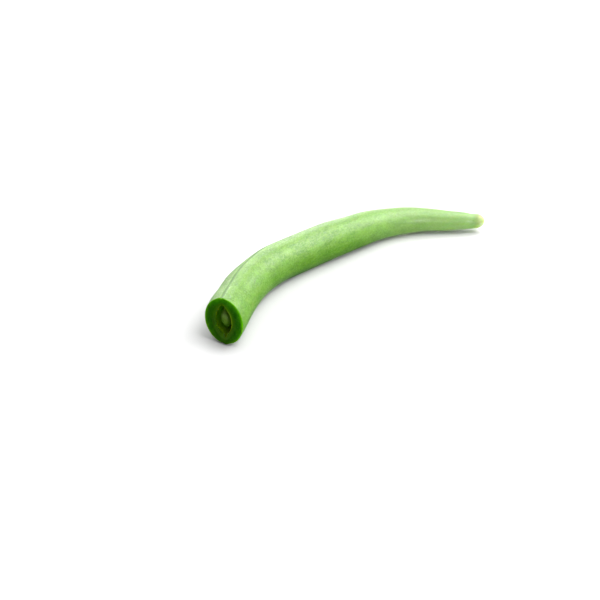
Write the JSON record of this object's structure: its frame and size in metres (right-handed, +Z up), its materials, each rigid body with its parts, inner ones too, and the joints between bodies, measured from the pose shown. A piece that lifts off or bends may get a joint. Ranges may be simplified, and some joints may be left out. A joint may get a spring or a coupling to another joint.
{
  "type": "green bean",
  "caption": "Curved fresh snap bean pod, cut across at the stem end, tapering to a pale blunt blossom end, with young seeds in its cavity.",
  "frame": {"origin": "middle of the bean's box, on the surface that it lies on", "axes": "+X from the cut stem end to the blossom end along the bean's length, +Y towards the outside of its curve, +Z up"},
  "size_m": [0.0908, 0.0246, 0.01],
  "materials": {
    "pod_skin": "satin, faintly downy green skin, moist pale flesh where cut",
    "seed_coat": "smooth, moist, translucent pale green"
  },
  "bodies": {
    "root": {"pod": "pod_skin", "seed_1": "seed_coat", "seed_2": "seed_coat", "seed_3": "seed_coat", "seed_4": "seed_coat", "seed_5": "seed_coat", "seed_6": "seed_coat", "seed_7": "seed_coat"}
  },
  "joints": []
}
